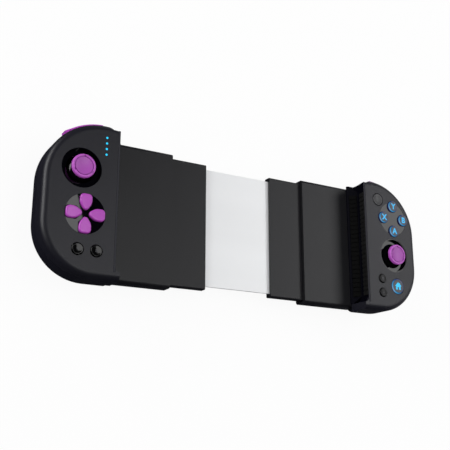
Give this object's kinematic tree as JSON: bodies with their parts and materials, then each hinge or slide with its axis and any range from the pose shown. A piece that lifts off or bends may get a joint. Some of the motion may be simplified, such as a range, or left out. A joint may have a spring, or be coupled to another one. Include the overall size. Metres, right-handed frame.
{
  "type": "phone gamepad",
  "caption": "Telescopic gamepad that clamps a phone between two rounded grips, with thumbsticks, buttons, shoulder buttons and triggers on a sliding bridge.",
  "frame": {"origin": "on the surface that the pad rests on, under the middle of its outline, with the bridge pulled right out", "axes": "+X along the pad from the left grip to the right grip, +Y towards the shoulder buttons, +Z out of the face"},
  "size_m": [0.262, 0.0914, 0.0353],
  "materials": {
    "bridge_plastic": "fine grained",
    "face_plastic": "fine grained",
    "back_plastic": "fine grained",
    "cradle_plastic": "fine grained",
    "rubber": "matte",
    "aluminium": "brushed",
    "circuit_board": "solder mask",
    "steel": "plated",
    "battery_wrap": "film",
    "black_gloss": "polished",
    "black_plastic": "moulded",
    "purple_cap": "satin",
    "purple_plastic": "satin",
    "lit_button": "lit from below",
    "light_pipe": "clear, lit",
    "grey_plastic": "fine grained",
    "dark_button": "polished"
  },
  "bodies": {
    "centre": {"centre_plate": "aluminium"},
    "left_sleeve": {"left_sleeve": "bridge_plastic"},
    "left_grip": {"left_housing_front": "bridge_plastic", "left_housing_back": "bridge_plastic", "left_front_shell": "face_plastic", "left_back_shell": "back_plastic", "left_cradle": "cradle_plastic", "left_lower_strip": "rubber", "left_upper_strip": "rubber", "left_foot": "rubber", "left_stick_well": "black_gloss", "left_stick_module": "black_plastic", "left_board": "circuit_board", "left_screws": "steel", "battery": "battery_wrap", "dpad_disc": "black_gloss", "light_guide": "light_pipe"},
    "left_bumper": {"left_bumper": "purple_plastic"},
    "left_trigger": {"left_trigger": "purple_plastic"},
    "left_stick_carriage": {"left_stick_carriage": "black_plastic"},
    "left_stick_yoke": {"left_stick_yoke": "black_plastic"},
    "left_stick": {"left_stick_shaft": "black_plastic", "left_stick_cap": "purple_cap"},
    "right_sleeve": {"right_sleeve": "bridge_plastic"},
    "right_grip": {"right_housing_front": "bridge_plastic", "right_housing_back": "bridge_plastic", "right_front_shell": "face_plastic", "right_back_shell": "back_plastic", "right_cradle": "cradle_plastic", "right_lower_strip": "rubber", "right_upper_strip": "rubber", "right_foot": "rubber", "right_stick_well": "black_gloss", "right_stick_module": "black_plastic", "right_board": "circuit_board", "right_screws": "steel", "face_disc": "black_gloss", "charging_port": "steel"},
    "right_bumper": {"right_bumper": "purple_plastic"},
    "right_trigger": {"right_trigger": "purple_plastic"},
    "right_stick_carriage": {"right_stick_carriage": "black_plastic"},
    "right_stick_yoke": {"right_stick_yoke": "black_plastic"},
    "right_stick": {"right_stick_shaft": "black_plastic", "right_stick_cap": "purple_cap"},
    "dpad_up": {"dpad_up": "purple_plastic"},
    "dpad_right": {"dpad_right": "purple_plastic"},
    "dpad_down": {"dpad_down": "purple_plastic"},
    "dpad_left": {"dpad_left": "purple_plastic"},
    "left_inner_button": {"left_inner_button": "dark_button"},
    "left_outer_button": {"left_outer_button": "dark_button"},
    "face_button_1": {"face_button_1": "lit_button"},
    "face_button_2": {"face_button_2": "lit_button"},
    "face_button_3": {"face_button_3": "lit_button"},
    "face_button_4": {"face_button_4": "lit_button"},
    "home_button": {"home_button": "lit_button"},
    "plain_button": {"plain_button": "grey_plastic"},
    "right_upper_button": {"right_upper_button": "dark_button"},
    "right_lower_button": {"right_lower_button": "dark_button"}
  },
  "joints": [
    {"name": "left_sleeve_slide", "type": "slide", "parent": "centre", "child": "left_sleeve", "axis": [1, 0, 0], "range_m": [0, 0.023]},
    {"name": "left_grip_slide", "type": "slide", "parent": "left_sleeve", "child": "left_grip", "axis": [1, 0, 0], "range_m": [0, 0.024]},
    {"name": "left_bumper_press", "type": "slide", "parent": "left_grip", "child": "left_bumper", "axis": [0.3584, -0.9336, 0], "range_m": [0, 0.0008], "stiffness_N_per_m": 800},
    {"name": "left_trigger_pull", "type": "hinge", "parent": "left_grip", "child": "left_trigger", "pos_m": [-0.11722, 0.02849, 0.0155], "axis": [0, 0, -1], "range_deg": [0, 5], "stiffness_Nm_per_rad": 0.2},
    {"name": "left_stick_click", "type": "slide", "parent": "left_grip", "child": "left_stick_carriage", "axis": [0, 0, -1], "range_m": [0, 0.0005], "stiffness_N_per_m": 2500},
    {"name": "left_stick_tilt_y", "type": "hinge", "parent": "left_stick_carriage", "child": "left_stick_yoke", "pos_m": [-0.1099, 0.0148, 0.0222], "axis": [1, 0, 0], "range_deg": [-12, 12], "stiffness_Nm_per_rad": 0.03},
    {"name": "left_stick_tilt_x", "type": "hinge", "parent": "left_stick_yoke", "child": "left_stick", "pos_m": [-0.1099, 0.0148, 0.0222], "axis": [0, 1, 0], "range_deg": [-12, 12], "stiffness_Nm_per_rad": 0.03},
    {"name": "right_sleeve_slide", "type": "slide", "parent": "centre", "child": "right_sleeve", "axis": [-1, 0, 0], "range_m": [0, 0.023]},
    {"name": "right_grip_slide", "type": "slide", "parent": "right_sleeve", "child": "right_grip", "axis": [-1, 0, 0], "range_m": [0, 0.024]},
    {"name": "right_bumper_press", "type": "slide", "parent": "right_grip", "child": "right_bumper", "axis": [-0.3584, -0.9336, 0], "range_m": [0, 0.0008], "stiffness_N_per_m": 800},
    {"name": "right_trigger_pull", "type": "hinge", "parent": "right_grip", "child": "right_trigger", "pos_m": [0.11722, 0.02849, 0.0155], "axis": [0, 0, 1], "range_deg": [0, 5], "stiffness_Nm_per_rad": 0.2},
    {"name": "right_stick_click", "type": "slide", "parent": "right_grip", "child": "right_stick_carriage", "axis": [0, 0, -1], "range_m": [0, 0.0005], "stiffness_N_per_m": 2500},
    {"name": "right_stick_tilt_y", "type": "hinge", "parent": "right_stick_carriage", "child": "right_stick_yoke", "pos_m": [0.1114, -0.0079, 0.0222], "axis": [1, 0, 0], "range_deg": [-12, 12], "stiffness_Nm_per_rad": 0.03},
    {"name": "right_stick_tilt_x", "type": "hinge", "parent": "right_stick_yoke", "child": "right_stick", "pos_m": [0.1114, -0.0079, 0.0222], "axis": [0, 1, 0], "range_deg": [-12, 12], "stiffness_Nm_per_rad": 0.03},
    {"name": "dpad_up_press", "type": "slide", "parent": "left_grip", "child": "dpad_up", "axis": [0, 0, -1], "range_m": [0, 0.0008], "stiffness_N_per_m": 500},
    {"name": "dpad_right_press", "type": "slide", "parent": "left_grip", "child": "dpad_right", "axis": [0, 0, -1], "range_m": [0, 0.0008], "stiffness_N_per_m": 500},
    {"name": "dpad_down_press", "type": "slide", "parent": "left_grip", "child": "dpad_down", "axis": [0, 0, -1], "range_m": [0, 0.0008], "stiffness_N_per_m": 500},
    {"name": "dpad_left_press", "type": "slide", "parent": "left_grip", "child": "dpad_left", "axis": [0, 0, -1], "range_m": [0, 0.0008], "stiffness_N_per_m": 500},
    {"name": "left_inner_button_press", "type": "slide", "parent": "left_grip", "child": "left_inner_button", "axis": [0, 0, -1], "range_m": [0, 0.0008], "stiffness_N_per_m": 500},
    {"name": "left_outer_button_press", "type": "slide", "parent": "left_grip", "child": "left_outer_button", "axis": [0, 0, -1], "range_m": [0, 0.0008], "stiffness_N_per_m": 500},
    {"name": "face_button_1_press", "type": "slide", "parent": "right_grip", "child": "face_button_1", "axis": [0, 0, -1], "range_m": [0, 0.0008], "stiffness_N_per_m": 500},
    {"name": "face_button_2_press", "type": "slide", "parent": "right_grip", "child": "face_button_2", "axis": [0, 0, -1], "range_m": [0, 0.0008], "stiffness_N_per_m": 500},
    {"name": "face_button_3_press", "type": "slide", "parent": "right_grip", "child": "face_button_3", "axis": [0, 0, -1], "range_m": [0, 0.0008], "stiffness_N_per_m": 500},
    {"name": "face_button_4_press", "type": "slide", "parent": "right_grip", "child": "face_button_4", "axis": [0, 0, -1], "range_m": [0, 0.0008], "stiffness_N_per_m": 500},
    {"name": "home_button_press", "type": "slide", "parent": "right_grip", "child": "home_button", "axis": [0, 0, -1], "range_m": [0, 0.0008], "stiffness_N_per_m": 500},
    {"name": "plain_button_press", "type": "slide", "parent": "right_grip", "child": "plain_button", "axis": [0, 0, -1], "range_m": [0, 0.0008], "stiffness_N_per_m": 500},
    {"name": "right_upper_button_press", "type": "slide", "parent": "right_grip", "child": "right_upper_button", "axis": [0, 0, -1], "range_m": [0, 0.0008], "stiffness_N_per_m": 500},
    {"name": "right_lower_button_press", "type": "slide", "parent": "right_grip", "child": "right_lower_button", "axis": [0, 0, -1], "range_m": [0, 0.0008], "stiffness_N_per_m": 500}
  ]
}
